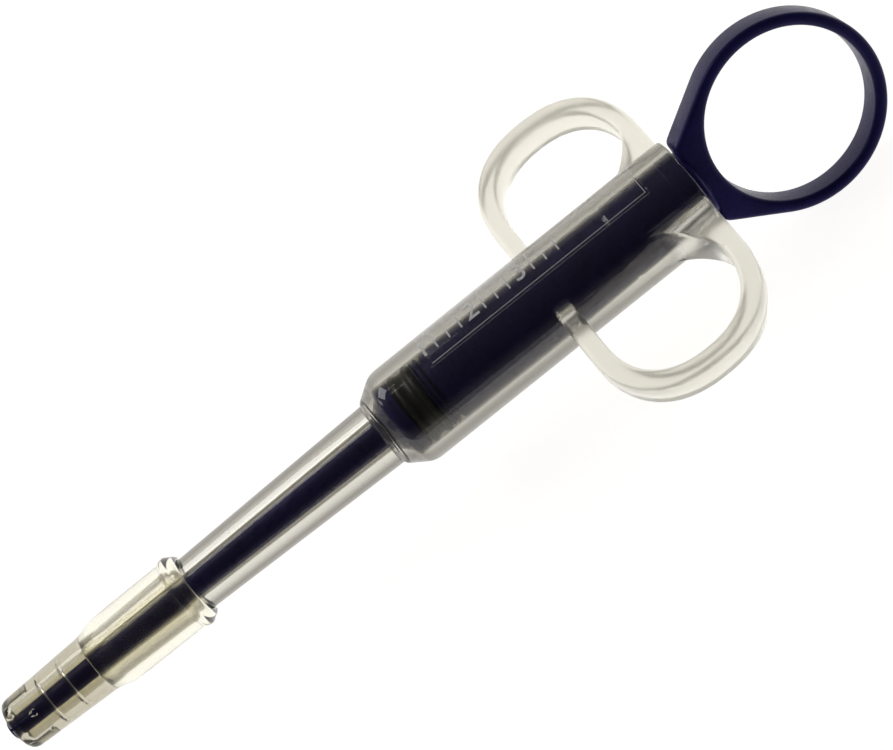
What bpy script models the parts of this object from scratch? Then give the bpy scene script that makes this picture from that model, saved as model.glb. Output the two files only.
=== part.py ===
"""Three-ring oral syringe with a soft tip, for placing a tablet or a small dose.

Run with: blender --background --python part.py

Lengths are in metres. The syringe lies along world X. The origin is the centre of the
push rod's flat front face, +X runs to the thumb ring, and +Z is square to the two flat
finger loops. The plunger is pushed fully home.
"""

import math

import bmesh
import bpy
from mathutils import Matrix

# Overall
ROUND_STEPS = 40
CLEARANCE = 0.0003
EDGE_ROUNDING = 0.0004
WELD = 0.000002

# Barrel and nozzle: one clear moulding
NOZZLE_FRONT = 0.0165
NOZZLE_REAR = 0.0705
NOZZLE_FRONT_RADIUS = 0.0040
NOZZLE_REAR_RADIUS = 0.0052
NOZZLE_BORE_FRONT = 0.00193
NOZZLE_BORE_REAR = 0.0028
SHOULDER_RADIUS = 0.00565
SHOULDER_REAR = 0.0741
BARREL_RADIUS = 0.0080
BARREL_REAR = 0.1281
CHAMBER_FRONT = 0.0718
CHAMBER_CONE_RADIUS = 0.0044
CHAMBER_CONE_LENGTH = 0.0019
CHAMBER_RADIUS = 0.0060
STOP_RIDGE = 0.1143
STOP_RIDGE_HEIGHT = 0.00012
STOP_RIDGE_WIDTH = 0.0008

# Finger loops, one on each side of the barrel and half a turn apart
LOOP_WIDTH = 0.0059
LOOP_FRONT = 0.1008
LOOP_REAR = BARREL_REAR - 0.0002
LOOP_THICKNESS = 0.0030
LOOP_REACH = 0.0274
LOOP_STRAIGHT = 0.0140
LOOP_ROUNDNESS = 2.3
LOOP_ROOT = 0.0045
LOOP_ARCH_STEPS = 22
GUSSET_TOP = 0.0152
GUSSET_LENGTH = 0.0075
GUSSET_ROUNDNESS = 1.5
GUSSET_STEPS = 8

# Label film on the barrel
LABEL_FRONT = 0.0826
LABEL_REAR = 0.1221
LABEL_ANGLE = 56.0
LABEL_CENTRE_ANGLE = 20.0
LABEL_THICKNESS = 0.00012
LABEL_GAP = 0.0001
LABEL_STEPS = 10

# Plunger
ROD_FRONT_RADIUS = 0.0016
ROD_REAR_RADIUS = 0.0022
ROD_COLLAR = 0.0012
SEAL_FRONT = 0.0755
SEAL_REAR = 0.0797
SEAL_LIP_RADIUS = 0.0058
SEAL_WAIST_RADIUS = 0.00545
GROOVE_RADIUS = 0.0040
RIB_WIDTH = 0.0006
RIB_GROOVE_RADIUS = 0.00515
PLUNGER_RADIUS = 0.0057
PLUNGER_WALL = 0.0011
PLUNGER_FLOOR = 0.0835
PLUNGER_REAR = 0.1279
COLLAR_RADIUS = 0.00585
COLLAR_FRONT = 0.1251
SOCKET_DEPTH = 0.0065

# Thumb ring
RING_CENTRE = 0.14505
RING_HOLE_RADIUS = 0.01295
RING_OUTER_RADIUS = 0.01490
RING_WIDTH = 0.0052
RING_ROUNDING = 0.0006
RING_BASE = 0.1286
RING_BASE_HALF = 0.0070
RING_TURN = 55.5
RING_STEPS = 36
PLUG_FRONT = 0.1200

# Soft tip
TIP_FRONT = 0.0009
TIP_LIP_RADIUS = 0.0029
TIP_FRONT_RADIUS = 0.00428
TIP_POCKET_REAR_RADIUS = 0.00485
TIP_SLEEVE_FRONT = 0.0191
TIP_SLEEVE_RADIUS = 0.00565
TIP_BEAD = 0.0332
TIP_BEAD_RADIUS = 0.00604
TIP_REAR = 0.0350
TIP_MOUTH_RADIUS = 0.0021
TIP_POCKET_RADIUS = 0.0029
TIP_RIDGE_RADIUS = 0.0024
TIP_RIDGES = (0.0078, 0.0118)
TIP_RIDGE_HALF_WIDTH = 0.0005
SLIT_REAR = 0.0052
SLIT_WIDTH = 0.0004
SLIT_HOLE_RADIUS = 0.00055
SLIT_TURN = 27.0
SLIT_CUTTER_LENGTH = 0.014

ALONG_AXIS = (0.0, math.radians(90), 0.0)


def clear_scene():
    for old in list(bpy.data.objects):
        bpy.data.objects.remove(old, do_unlink=True)


def new_collection(name):
    made = bpy.data.collections.new(name)
    bpy.context.scene.collection.children.link(made)
    return made


def plastic(name, colour, roughness, transmission=0.0):
    """A Principled material, clear when it transmits."""
    made = bpy.data.materials.new(name)
    made.use_nodes = True
    shader = made.node_tree.nodes["Principled BSDF"]
    shader.inputs["Base Color"].default_value = (*colour, 1.0)
    shader.inputs["Roughness"].default_value = roughness
    shader.inputs["Metallic"].default_value = 0.0
    shader.inputs["Transmission Weight"].default_value = transmission
    return made


def add_object(name, data, home):
    made = bpy.data.objects.new(name, data)
    home.objects.link(made)
    return made


def hide_helper(helper):
    helper.hide_render = True
    helper.display_type = "WIRE"
    return helper


def turned(name, profile, home, tube=False):
    """Turn a profile of (station, radius) points round the syringe's axis.

    The points run down the outer side, from the rear to the front. A tube's profile
    comes back up its inner side; any other starts and ends on the axis.
    """
    half_step = math.pi / ROUND_STEPS
    points = []
    for station, radius in profile:
        points.append((radius * math.cos(half_step), radius * math.sin(half_step), station))
    edges = [(index, index + 1) for index in range(len(points) - 1)]
    if tube:
        edges.append((len(points) - 1, 0))
    mesh = bpy.data.meshes.new(name)
    mesh.from_pydata(points, edges, [])
    made = add_object(name, mesh, home)
    made.rotation_euler = ALONG_AXIS
    screw = made.modifiers.new("turn", "SCREW")
    screw.axis = "Z"
    screw.steps = ROUND_STEPS
    screw.render_steps = ROUND_STEPS
    screw.use_merge_vertices = True
    screw.merge_threshold = WELD
    return made


def outline_solid(name, outlines, width, rounding, home):
    """A flat outline in the XY plane, given its width along Z and rounded edges."""
    curve = bpy.data.curves.new(name, "CURVE")
    curve.dimensions = "2D"
    curve.fill_mode = "BOTH"
    curve.extrude = width / 2 - rounding
    curve.bevel_depth = rounding
    curve.bevel_resolution = 1
    curve.offset = -rounding
    for outline in outlines:
        spline = curve.splines.new("POLY")
        spline.points.add(len(outline) - 1)
        for point, (x, y) in zip(spline.points, outline):
            point.co = (x, y, 0.0, 1.0)
        spline.use_cyclic_u = True
    return add_object(name, curve, home)


def as_mesh(source, name, home):
    """Replace an object by the mesh that it evaluates to."""
    bpy.context.view_layer.update()
    graph = bpy.context.evaluated_depsgraph_get()
    mesh = bpy.data.meshes.new_from_object(source.evaluated_get(graph))
    made = add_object(name, mesh, home)
    made.matrix_world = source.matrix_world.copy()
    bpy.data.objects.remove(source, do_unlink=True)
    return made


def weld_caps(solid):
    """Join a curve's loose caps to its sides."""
    work = bmesh.new()
    work.from_mesh(solid.data)
    bmesh.ops.remove_doubles(work, verts=work.verts, dist=WELD)
    work.to_mesh(solid.data)
    work.free()
    return solid


def combine(target, other, operation):
    change = target.modifiers.new(other.name, "BOOLEAN")
    change.operation = operation
    change.object = other


def settle(work, name, home, material):
    """Finish a piece: one plain mesh, smooth where it is round, in its own material."""
    made = as_mesh(work, name + "_done", home)
    made.name = name
    made.data.name = name
    made.data.shade_smooth()
    made.data.set_sharp_from_angle(angle=math.radians(35))
    made.data.materials.clear()
    made.data.materials.append(material)
    return made


def arch(centre, base, half_width, depth, steps):
    """A superellipse arch from its front foot to its rear foot."""
    points = []
    power = 2.0 / LOOP_ROUNDNESS
    for step in range(steps + 1):
        turn = math.pi * (1 - step / steps)
        along = math.copysign(abs(math.cos(turn)) ** power, math.cos(turn))
        points.append((centre + half_width * along, base + depth * abs(math.sin(turn)) ** power))
    return points


def arc(centre, radius, start, end, steps):
    """Points on a circle, from one angle to another in degrees."""
    points = []
    for step in range(steps + 1):
        angle = math.radians(start + (end - start) * step / steps)
        points.append((centre[0] + radius * math.cos(angle), centre[1] + radius * math.sin(angle)))
    return points


def loop_outline():
    """A D-shaped strap whose two feet and rear gusset end inside the barrel."""
    centre = (LOOP_FRONT + LOOP_REAR) / 2
    half_width = (LOOP_REAR - LOOP_FRONT) / 2
    depth = LOOP_REACH - LOOP_STRAIGHT
    outer = arch(centre, LOOP_STRAIGHT, half_width, depth, LOOP_ARCH_STEPS)
    inner_half = half_width - LOOP_THICKNESS
    inner = arch(centre, LOOP_STRAIGHT, inner_half, depth - LOOP_THICKNESS, LOOP_ARCH_STEPS)
    inner.reverse()
    rear_inside = LOOP_REAR - LOOP_THICKNESS
    gusset = []
    for step in range(GUSSET_STEPS + 1):
        fall = 1 - step / GUSSET_STEPS
        run = (1 - fall**GUSSET_ROUNDNESS) ** (1 / GUSSET_ROUNDNESS)
        height = GUSSET_TOP - fall * (GUSSET_TOP - BARREL_RADIUS)
        gusset.append((rear_inside - GUSSET_LENGTH * (1 - run), height))
    rear_foot = [(LOOP_REAR, LOOP_ROOT), (gusset[0][0], LOOP_ROOT)]
    front_foot = [(LOOP_FRONT + LOOP_THICKNESS, LOOP_ROOT), (LOOP_FRONT, LOOP_ROOT)]
    inner = [point for point in inner if point[1] > GUSSET_TOP or point[0] < centre]
    points = outer + rear_foot + gusset + inner + front_foot
    return [(x, -reach_out) for x, reach_out in points]


def make_barrel(home, helpers, material):
    outside = [
        (BARREL_REAR, 0.0),
        (BARREL_REAR, BARREL_RADIUS - EDGE_ROUNDING),
        (BARREL_REAR - EDGE_ROUNDING, BARREL_RADIUS),
        (SHOULDER_REAR + EDGE_ROUNDING, BARREL_RADIUS),
        (SHOULDER_REAR, BARREL_RADIUS - EDGE_ROUNDING / 2),
        (NOZZLE_REAR + EDGE_ROUNDING, SHOULDER_RADIUS + EDGE_ROUNDING / 2),
        (NOZZLE_REAR, SHOULDER_RADIUS - EDGE_ROUNDING / 2),
        (NOZZLE_REAR, NOZZLE_REAR_RADIUS),
        (NOZZLE_FRONT + EDGE_ROUNDING, NOZZLE_FRONT_RADIUS),
        (NOZZLE_FRONT, NOZZLE_FRONT_RADIUS - EDGE_ROUNDING),
        (NOZZLE_FRONT, 0.0),
    ]
    past_end = 0.002
    ridge_radius = CHAMBER_RADIUS - STOP_RIDGE_HEIGHT
    bore = [
        (BARREL_REAR + past_end, 0.0),
        (BARREL_REAR + past_end, CHAMBER_RADIUS),
        (STOP_RIDGE + STOP_RIDGE_WIDTH, CHAMBER_RADIUS),
        (STOP_RIDGE + STOP_RIDGE_WIDTH / 2, ridge_radius),
        (STOP_RIDGE - STOP_RIDGE_WIDTH / 2, ridge_radius),
        (STOP_RIDGE - STOP_RIDGE_WIDTH, CHAMBER_RADIUS),
        (CHAMBER_FRONT + CHAMBER_CONE_LENGTH, CHAMBER_RADIUS),
        (CHAMBER_FRONT, CHAMBER_CONE_RADIUS),
        (CHAMBER_FRONT, NOZZLE_BORE_REAR),
        (NOZZLE_FRONT, NOZZLE_BORE_FRONT),
        (NOZZLE_FRONT - past_end, NOZZLE_BORE_FRONT),
        (NOZZLE_FRONT - past_end, 0.0),
    ]
    body = turned("barrel_blank", outside, home)
    strap = outline_solid("loop_outline", [loop_outline()], LOOP_WIDTH, EDGE_ROUNDING, helpers)
    strap.location.z = LOOP_WIDTH / 2
    near_loop = hide_helper(weld_caps(as_mesh(strap, "near_loop", helpers)))
    far_loop = hide_helper(add_object("far_loop", near_loop.data.copy(), helpers))
    far_loop.location.z = -LOOP_WIDTH / 2
    far_loop.rotation_euler.x = math.pi
    bore_cutter = hide_helper(turned("bore_cutter", bore, helpers))
    combine(body, near_loop, "UNION")
    combine(body, far_loop, "UNION")
    combine(body, bore_cutter, "DIFFERENCE")
    return settle(body, "barrel", home, material)


def make_label(home, material):
    """A thin film wrapped part of the way round the barrel."""
    mesh = bpy.data.meshes.new("label_edge")
    radius = BARREL_RADIUS + LABEL_GAP
    mesh.from_pydata([(radius, 0.0, LABEL_REAR), (radius, 0.0, LABEL_FRONT)], [(0, 1)], [])
    film = add_object("label_edge", mesh, home)
    start = math.radians(180.0 - LABEL_CENTRE_ANGLE - LABEL_ANGLE / 2)
    film.matrix_world = Matrix.Rotation(ALONG_AXIS[1], 4, "Y") @ Matrix.Rotation(start, 4, "Z")
    screw = film.modifiers.new("turn", "SCREW")
    screw.axis = "Z"
    screw.angle = math.radians(LABEL_ANGLE)
    screw.steps = LABEL_STEPS
    screw.render_steps = LABEL_STEPS
    wall = film.modifiers.new("film", "SOLIDIFY")
    wall.thickness = LABEL_THICKNESS
    wall.offset = 1.0
    return settle(film, "label_film", home, material)


def make_plunger_body(home, helpers, material):
    """The plunger tube, its seal groove, and the front disc ahead of the groove."""
    front = CHAMBER_FRONT + CLEARANCE
    cone_radius = CHAMBER_CONE_RADIUS - CLEARANCE
    cone_rear = front + CHAMBER_CONE_LENGTH
    first_rib = SEAL_REAR + RIB_WIDTH
    second_rib = first_rib + RIB_WIDTH
    tube_front = second_rib + RIB_WIDTH
    outside = [
        (PLUNGER_REAR, 0.0),
        (PLUNGER_REAR, COLLAR_RADIUS - EDGE_ROUNDING),
        (PLUNGER_REAR - EDGE_ROUNDING, COLLAR_RADIUS),
        (COLLAR_FRONT + EDGE_ROUNDING, COLLAR_RADIUS),
        (COLLAR_FRONT, PLUNGER_RADIUS),
        (tube_front, PLUNGER_RADIUS),
        (tube_front, RIB_GROOVE_RADIUS),
        (second_rib, RIB_GROOVE_RADIUS),
        (second_rib, PLUNGER_RADIUS),
        (first_rib, PLUNGER_RADIUS),
        (first_rib, RIB_GROOVE_RADIUS),
        (SEAL_REAR + RIB_WIDTH / 2, RIB_GROOVE_RADIUS),
        (SEAL_REAR + RIB_WIDTH / 2, PLUNGER_RADIUS),
        (SEAL_REAR, PLUNGER_RADIUS),
        (SEAL_REAR, GROOVE_RADIUS),
        (SEAL_FRONT, GROOVE_RADIUS),
        (SEAL_FRONT, PLUNGER_RADIUS),
        (cone_rear, PLUNGER_RADIUS),
        (front, cone_radius),
        (front, 0.0),
    ]
    past_end = 0.002
    hollow_radius = PLUNGER_RADIUS - PLUNGER_WALL
    hollow = [
        (PLUNGER_REAR + past_end, 0.0),
        (PLUNGER_REAR + past_end, hollow_radius),
        (PLUNGER_FLOOR, hollow_radius),
        (PLUNGER_FLOOR, 0.0),
    ]
    socket_radius = ROD_REAR_RADIUS + CLEARANCE
    socket = [
        (front + SOCKET_DEPTH, 0.0),
        (front + SOCKET_DEPTH, socket_radius),
        (front - past_end, socket_radius),
        (front - past_end, 0.0),
    ]
    body = turned("plunger_blank", outside, home)
    hollow_cutter = hide_helper(turned("hollow_cutter", hollow, helpers))
    socket_cutter = hide_helper(turned("socket_cutter", socket, helpers))
    combine(body, hollow_cutter, "DIFFERENCE")
    combine(body, socket_cutter, "DIFFERENCE")
    return settle(body, "plunger_body", home, material)


def make_push_rod(home, material):
    """A slim tapered rod, with a short collar at its flat front face."""
    rear = CHAMBER_FRONT + SOCKET_DEPTH
    step = CLEARANCE / 3
    profile = [
        (rear, 0.0),
        (rear, ROD_REAR_RADIUS),
        (CHAMBER_FRONT, ROD_REAR_RADIUS),
        (ROD_COLLAR, ROD_FRONT_RADIUS - step),
        (ROD_COLLAR, ROD_FRONT_RADIUS),
        (step, ROD_FRONT_RADIUS),
        (0.0, ROD_FRONT_RADIUS - step),
        (0.0, 0.0),
    ]
    return settle(turned("rod_blank", profile, home), "push_rod", home, material)


def make_piston_seal(home, material):
    """A rubber ring with a lip at each end, sitting in the plunger's groove."""
    front = SEAL_FRONT + CLEARANCE
    rear = SEAL_REAR - CLEARANCE
    inside = GROOVE_RADIUS + CLEARANCE
    lip = (rear - front) / 4
    profile = [
        (rear, SEAL_WAIST_RADIUS),
        (rear - lip / 2, SEAL_LIP_RADIUS),
        (rear - lip, SEAL_LIP_RADIUS),
        (rear - lip * 1.5, SEAL_WAIST_RADIUS),
        (front + lip * 1.5, SEAL_WAIST_RADIUS),
        (front + lip, SEAL_LIP_RADIUS),
        (front + lip / 2, SEAL_LIP_RADIUS),
        (front, SEAL_WAIST_RADIUS),
        (front, inside),
        (rear, inside),
    ]
    return settle(turned("seal_blank", profile, home, tube=True), "piston_seal", home, material)


def ring_outline():
    """The outer circle, with a straight flank from each side down to a flat base."""
    corner_x = RING_BASE - RING_CENTRE
    distance = math.hypot(corner_x, RING_BASE_HALF)
    bearing = math.degrees(math.atan2(RING_BASE_HALF, corner_x))
    tangent = bearing - math.degrees(math.acos(RING_OUTER_RADIUS / distance))
    points = arc((RING_CENTRE, 0.0), RING_OUTER_RADIUS, -tangent, tangent, RING_STEPS)
    points.append((RING_BASE, RING_BASE_HALF))
    points.append((RING_BASE, -RING_BASE_HALF))
    return points


def make_thumb_ring(home, helpers, material):
    """The ring, turned from the loops' plane, with a plug for the plunger tube."""
    hole = arc((RING_CENTRE, 0.0), RING_HOLE_RADIUS, 0.0, 360.0, RING_STEPS)[:-1]
    blank = outline_solid("ring_outline", [ring_outline(), hole], RING_WIDTH, RING_ROUNDING, home)
    blank.data.bevel_resolution = 2
    blank.rotation_euler.x = math.radians(RING_TURN)
    ring = weld_caps(as_mesh(blank, "ring_blank", home))
    plug_radius = PLUNGER_RADIUS - PLUNGER_WALL - CLEARANCE
    inside_base = RING_BASE + RING_ROUNDING * 2
    flange_front = PLUNGER_REAR + CLEARANCE
    plug_profile = [
        (inside_base, 0.0),
        (inside_base, RING_WIDTH / 2 - EDGE_ROUNDING),
        (RING_BASE + EDGE_ROUNDING, COLLAR_RADIUS - EDGE_ROUNDING),
        (flange_front, COLLAR_RADIUS - EDGE_ROUNDING),
        (flange_front, plug_radius),
        (PLUG_FRONT + EDGE_ROUNDING, plug_radius),
        (PLUG_FRONT, plug_radius - EDGE_ROUNDING),
        (PLUG_FRONT, 0.0),
    ]
    plug = hide_helper(turned("ring_plug", plug_profile, helpers))
    combine(ring, plug, "UNION")
    return settle(ring, "thumb_ring", home, material)


def make_soft_tip(home, helpers, material):
    """A soft sleeve over the nozzle, its slit mouth gripping what the rod pushes out."""
    sleeve_start = NOZZLE_FRONT - CLEARANCE
    nozzle_grows = (NOZZLE_REAR_RADIUS - NOZZLE_FRONT_RADIUS) / (NOZZLE_REAR - NOZZLE_FRONT)
    rear_bore = NOZZLE_FRONT_RADIUS + nozzle_grows * (TIP_REAR - NOZZLE_FRONT) + CLEARANCE
    mouth_round = TIP_FRONT_RADIUS - TIP_LIP_RADIUS
    outside = [
        (TIP_REAR, rear_bore + EDGE_ROUNDING),
        (TIP_REAR - EDGE_ROUNDING, rear_bore + EDGE_ROUNDING * 2),
        (TIP_BEAD + EDGE_ROUNDING * 3, TIP_SLEEVE_RADIUS + EDGE_ROUNDING / 2),
        (TIP_BEAD + EDGE_ROUNDING, TIP_BEAD_RADIUS),
        (TIP_BEAD - EDGE_ROUNDING, TIP_BEAD_RADIUS),
        (TIP_BEAD - EDGE_ROUNDING * 3, TIP_SLEEVE_RADIUS + EDGE_ROUNDING / 2),
        (TIP_SLEEVE_FRONT, TIP_SLEEVE_RADIUS),
        (NOZZLE_FRONT, TIP_POCKET_REAR_RADIUS),
        (TIP_FRONT + mouth_round, TIP_FRONT_RADIUS),
        (TIP_FRONT + mouth_round / 3, TIP_LIP_RADIUS + mouth_round * 0.7),
        (TIP_FRONT, TIP_LIP_RADIUS),
    ]
    inside = [(TIP_FRONT, TIP_MOUTH_RADIUS), (TIP_FRONT + mouth_round, TIP_POCKET_RADIUS)]
    for ridge in TIP_RIDGES:
        inside.append((ridge - TIP_RIDGE_HALF_WIDTH, TIP_POCKET_RADIUS))
        inside.append((ridge, TIP_RIDGE_RADIUS))
        inside.append((ridge + TIP_RIDGE_HALF_WIDTH, TIP_POCKET_RADIUS))
    inside.append((sleeve_start, TIP_POCKET_RADIUS))
    inside.append((sleeve_start, NOZZLE_FRONT_RADIUS + CLEARANCE))
    inside.append((TIP_REAR, rear_bore))
    tip = turned("tip_blank", outside + inside, home, tube=True)
    slit_length = 2 * SLIT_REAR
    for turn in (SLIT_TURN, SLIT_TURN + 90.0):
        bpy.ops.mesh.primitive_cube_add(size=1.0)
        slit = hide_helper(bpy.context.object)
        slit.name = "slit_cutter"
        slit.dimensions = (slit_length, SLIT_WIDTH, SLIT_CUTTER_LENGTH)
        bpy.ops.object.transform_apply(scale=True)
        bpy.ops.mesh.primitive_cylinder_add(
            vertices=12,
            radius=SLIT_HOLE_RADIUS,
            depth=SLIT_CUTTER_LENGTH,
            location=(SLIT_REAR, 0.0, 0.0),
        )
        hole = hide_helper(bpy.context.object)
        hole.name = "slit_end_cutter"
        for cutter in (slit, hole):
            cutter.rotation_euler.x = -math.radians(turn)
            for owner in list(cutter.users_collection):
                owner.objects.unlink(cutter)
            helpers.objects.link(cutter)
            combine(tip, cutter, "DIFFERENCE")
    return settle(tip, "soft_tip", home, material)


def add_guide(name, home, parent=None):
    """An empty on the syringe's axis that carries the pieces of one moving body."""
    guide = add_object(name, None, home)
    guide.empty_display_type = "SINGLE_ARROW"
    guide.empty_display_size = 0.01
    guide.parent = parent
    return guide


def main():
    clear_scene()
    home = new_collection("oral_syringe")
    helpers = new_collection("cutters")
    clear = plastic("clear_plastic", (0.90, 0.92, 0.90), 0.08, transmission=0.9)
    film = plastic("label_film", (0.88, 0.88, 0.90), 0.25, transmission=0.8)
    navy = plastic("navy_plastic", (0.012, 0.010, 0.075), 0.30)
    rubber = plastic("black_rubber", (0.012, 0.012, 0.012), 0.55)
    vinyl = plastic("soft_clear_vinyl", (0.86, 0.84, 0.70), 0.15, transmission=0.85)

    make_barrel(home, helpers, clear)
    make_label(home, film)
    slide = add_guide("plunger_slide", home)
    turn = add_guide("plunger_turn", home, parent=slide)
    tip_slide = add_guide("tip_pull_off", home)
    make_piston_seal(home, rubber).parent = slide
    make_plunger_body(home, helpers, navy).parent = turn
    make_push_rod(home, navy).parent = turn
    make_thumb_ring(home, helpers, navy).parent = turn
    make_soft_tip(home, helpers, vinyl).parent = tip_slide


main()
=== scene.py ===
"""A clear oral syringe with two finger loops, a soft tip and a navy ring plunger."""

import math

import bmesh
import bpy
import numpy as np
from bpy.props import FloatProperty, FloatVectorProperty, IntProperty, PointerProperty
from bpy.types import Operator, Panel, PropertyGroup
from mathutils import Matrix, Vector


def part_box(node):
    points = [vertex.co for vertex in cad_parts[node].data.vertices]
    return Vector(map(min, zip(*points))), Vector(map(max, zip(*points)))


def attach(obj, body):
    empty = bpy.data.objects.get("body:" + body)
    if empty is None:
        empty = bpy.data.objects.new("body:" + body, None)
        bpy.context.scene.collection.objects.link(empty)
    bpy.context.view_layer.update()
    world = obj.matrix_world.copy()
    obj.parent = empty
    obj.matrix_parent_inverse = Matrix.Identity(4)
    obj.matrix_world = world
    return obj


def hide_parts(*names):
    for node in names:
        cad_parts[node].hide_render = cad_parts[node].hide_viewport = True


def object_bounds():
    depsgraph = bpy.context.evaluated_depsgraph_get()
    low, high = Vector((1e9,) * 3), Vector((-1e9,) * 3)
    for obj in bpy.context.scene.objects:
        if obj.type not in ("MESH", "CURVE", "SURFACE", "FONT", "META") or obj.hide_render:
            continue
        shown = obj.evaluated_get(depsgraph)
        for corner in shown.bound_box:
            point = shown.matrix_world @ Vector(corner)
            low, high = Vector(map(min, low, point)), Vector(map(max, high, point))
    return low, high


bl_info = {
    "name": "Ring Syringe",
    "version": (1, 0, 0),
    "blender": (4, 5, 0),
    "location": "3D View > Sidebar > Syringe",
    "description": "Builds a three-ring oral syringe piece by piece on its packed frame",
    "category": "Object",
}

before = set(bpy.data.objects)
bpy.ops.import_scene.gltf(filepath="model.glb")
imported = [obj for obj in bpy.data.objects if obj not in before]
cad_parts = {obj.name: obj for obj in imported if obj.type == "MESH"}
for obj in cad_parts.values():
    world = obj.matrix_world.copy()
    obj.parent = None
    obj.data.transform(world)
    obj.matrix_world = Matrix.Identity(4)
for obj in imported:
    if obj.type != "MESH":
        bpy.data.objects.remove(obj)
CAD_BOX = [list(corner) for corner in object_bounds()]

# Stations along the syringe and radii, in metres
NOZZLE_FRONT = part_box("barrel")[0].x
BARREL_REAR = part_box("barrel")[1].x
NOZZLE_REAR = 0.0705
NOZZLE_FRONT_RADIUS = 0.0040
NOZZLE_REAR_RADIUS = 0.0052
NOZZLE_BORE_FRONT = 0.00193
NOZZLE_BORE_REAR = 0.0028
SHOULDER_REAR = 0.0741
SHOULDER_RADIUS = 0.00565
BARREL_RADIUS = 0.0080
CHAMBER_FRONT = 0.0718
CHAMBER_CONE_RADIUS = 0.0044
CHAMBER_CONE_REAR = 0.0737
CHAMBER_RADIUS = 0.0060
STOP_RIDGE = 0.1143

LOOP_WIDTH = 0.0059
LOOP_FRONT = 0.1008
LOOP_REAR = 0.1279
LOOP_THICKNESS = 0.0030
LOOP_REACH = -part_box("barrel")[0].y
LOOP_STRAIGHT = 0.0140
LOOP_ROUNDNESS = 2.3
LOOP_ROOT_RADIUS = 0.0070
GUSSET_TOP = 0.0152
GUSSET_LENGTH = 0.0075
GUSSET_ROUNDNESS = 1.5

LABEL_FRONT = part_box("label_film")[0].x
LABEL_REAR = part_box("label_film")[1].x
LABEL_NEAR_ANGLE = math.radians(-8)
LABEL_FAR_ANGLE = math.radians(48)
LABEL_LIFT = 0.00004
LABEL_THICKNESS = 0.00010
PRINT_BASE_ANGLE = math.radians(6.5)
PRINT_THICKNESS = 0.00003
ZERO_MARK = 0.0762
MARK_STEP = 0.00884
MARK_HEIGHTS = {0: 0.0042, 1: 0.0015, 2: 0.0026}
NUMERAL_LEAD = 0.0021
FRAME_LINE_INSET = 0.0004
FRAME_LINE_WIDTH = 0.00009

SEAL_FRONT = 0.0755
SEAL_REAR = 0.0797
SEAL_WAIST_RADIUS = 0.00535
GROOVE_RADIUS = 0.0040
RIB_WIDTH = 0.0006
RIB_GROOVE_RADIUS = 0.00515
PLUNGER_GAP = 0.0003
PLUNGER_RADIUS = 0.0057
PLUNGER_BORE = 0.0046
PLUNGER_FLOOR = 0.0835
PLUNGER_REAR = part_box("plunger_body")[1].x
COLLAR_RADIUS = 0.00585
COLLAR_FRONT = 0.1251
ROD_FRONT_RADIUS = 0.0016
ROD_REAR_RADIUS = 0.0022
SOCKET_DEPTH = 0.0065
SOCKET_GAP = 0.00005

RING_CENTRE = 0.14505
RING_HOLE_RADIUS = 0.01295
RING_OUTER_RADIUS = 0.01490
RING_WIDTH = 0.0052
RING_BASE = 0.1286
RING_BASE_HALF = 0.0070
RING_TURN = math.radians(55.5)
PLUG_FRONT = 0.1200

TIP_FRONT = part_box("soft_tip")[0].x
TIP_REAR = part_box("soft_tip")[1].x
TIP_POCKET_RADIUS = 0.0029
TIP_RIDGE_RADIUS = 0.0025
TIP_RIDGES = (0.0078, 0.0118)
TIP_RIDGE_HALF = 0.0004
TIP_MOUTH_RADIUS = 0.0021
TIP_FRONT_RADIUS = 0.00428
TIP_NECK_RADIUS = 0.00485
TIP_SLEEVE_START = 0.0165
TIP_SLEEVE_FRONT = 0.0191
TIP_SLEEVE_RADIUS = 0.00565
TIP_BEAD_RADIUS = 0.00608
TIP_BEAD_FRONT = 0.0328
TIP_BEAD_REAR = 0.0336
SLIT_REAR = 0.0052
SLIT_HALF_WIDTH = 0.00018
SLIT_HOLE_RADIUS = 0.00055
SLIT_REACH = 0.0075
SLIT_TURN = math.radians(27)

# Finishes: (start and full distance from the axis, roughness, share of clear light)
LOOP_FROST = (0.00808, 0.0095, 0.30, 0.84)
SLEEVE_TINT_SPAN = (0.0155, 0.0185)
# Facing range over which the painted rim shade of the clear plastics comes in
RIM_SHADE_FACING = (0.06, 0.52)
FROSTED_GAIN = 1.30

# Stage
CAMERA_AIM = (0.08303, 0, 0)
CAMERA_SLIP = (-0.000532, 0.000663)
KEY_LIGHT_PLACE = (-0.10, 0.30, 0.30)
KEY_LIGHT_SIZE = 0.20
OVERHEAD_SHARE = 0.10
DIM_SIDE_SHARE = 0.12
FLOOR_HALF = 3.0


class SyringeShape(PropertyGroup):
    """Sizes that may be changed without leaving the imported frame."""

    segments: IntProperty(
        name="Round segments", description="Faces round each turned piece", default=160, min=48, max=256
    )
    strap_edge: FloatProperty(
        name="Loop edge", description="Radius of the finger loops' edges", default=0.0008, unit="LENGTH"
    )
    ring_edge: FloatProperty(
        name="Ring edge", description="Radius of the thumb ring's edges", default=0.0008, unit="LENGTH"
    )
    seal_radius: FloatProperty(
        name="Seal radius", description="Radius of the seal's two lips", default=0.00593, unit="LENGTH"
    )
    tip_gap: FloatProperty(
        name="Tip gap", description="Air between the soft tip and the nozzle", default=0.00006, unit="LENGTH"
    )
    mark_width: FloatProperty(
        name="Mark width", description="Width of a printed graduation mark", default=0.00028, unit="LENGTH"
    )
    numeral_height: FloatProperty(
        name="Numeral height", description="Height of the printed numerals", default=0.0034, unit="LENGTH"
    )


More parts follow.
